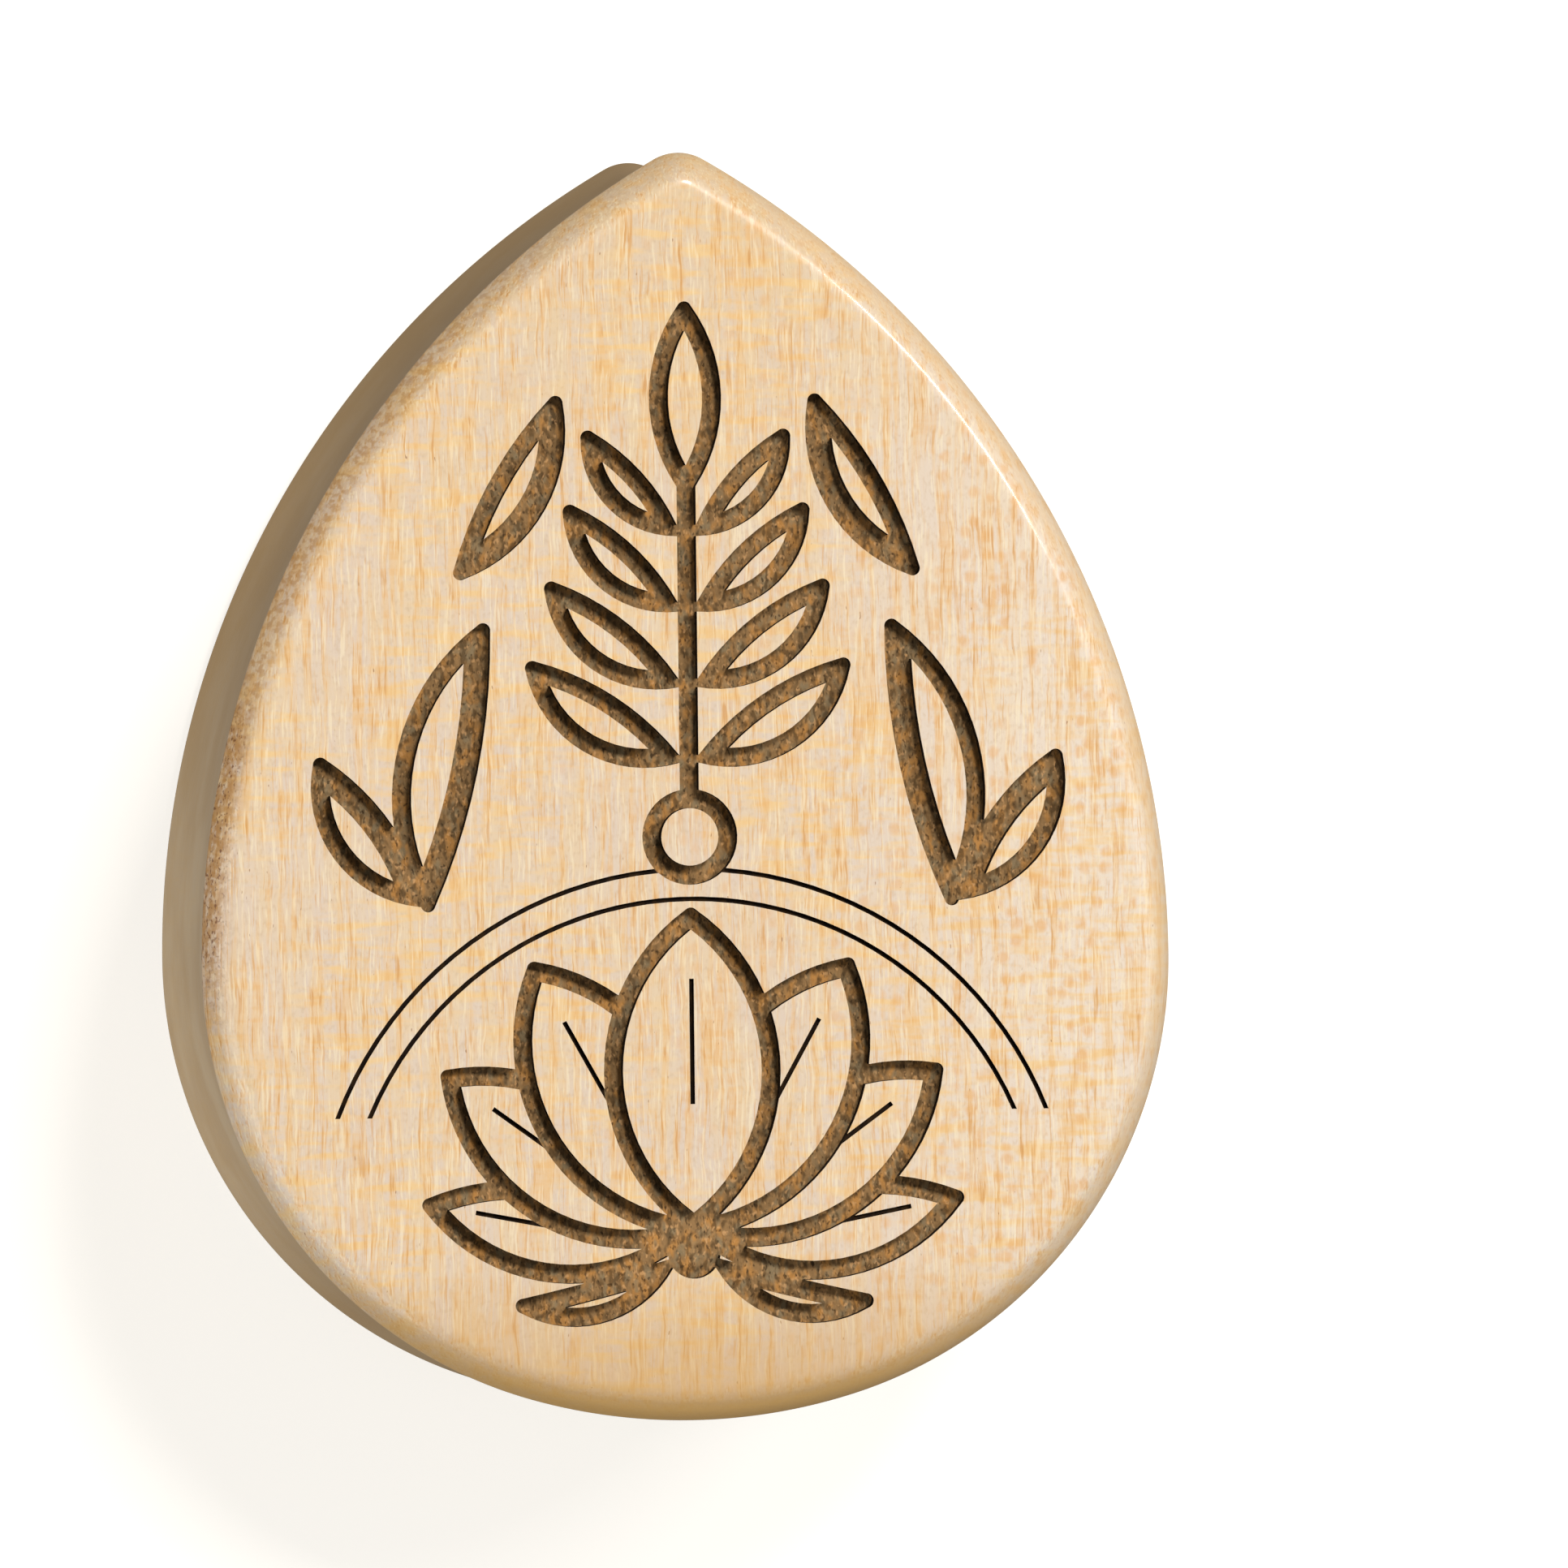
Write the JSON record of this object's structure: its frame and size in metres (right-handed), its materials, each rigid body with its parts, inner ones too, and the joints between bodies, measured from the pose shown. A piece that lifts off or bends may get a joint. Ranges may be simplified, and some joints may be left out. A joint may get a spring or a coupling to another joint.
{
  "type": "ear plug gauge",
  "caption": "Teardrop double-flare ear plug of pale wood with rounded lips, a hollowed waist and a burned line engraving on the face.",
  "frame": {"origin": "middle of the plug's outline, on the plane of its back face", "axes": "+Z from the back face to the engraved face, +Y towards the tip of the teardrop, X across the width"},
  "size_m": [0.0296, 0.0384, 0.0143],
  "materials": {
    "plug_body": "fine-sanded and oiled, satin"
  },
  "bodies": {
    "root": {"plug_body": "plug_body"}
  },
  "joints": []
}
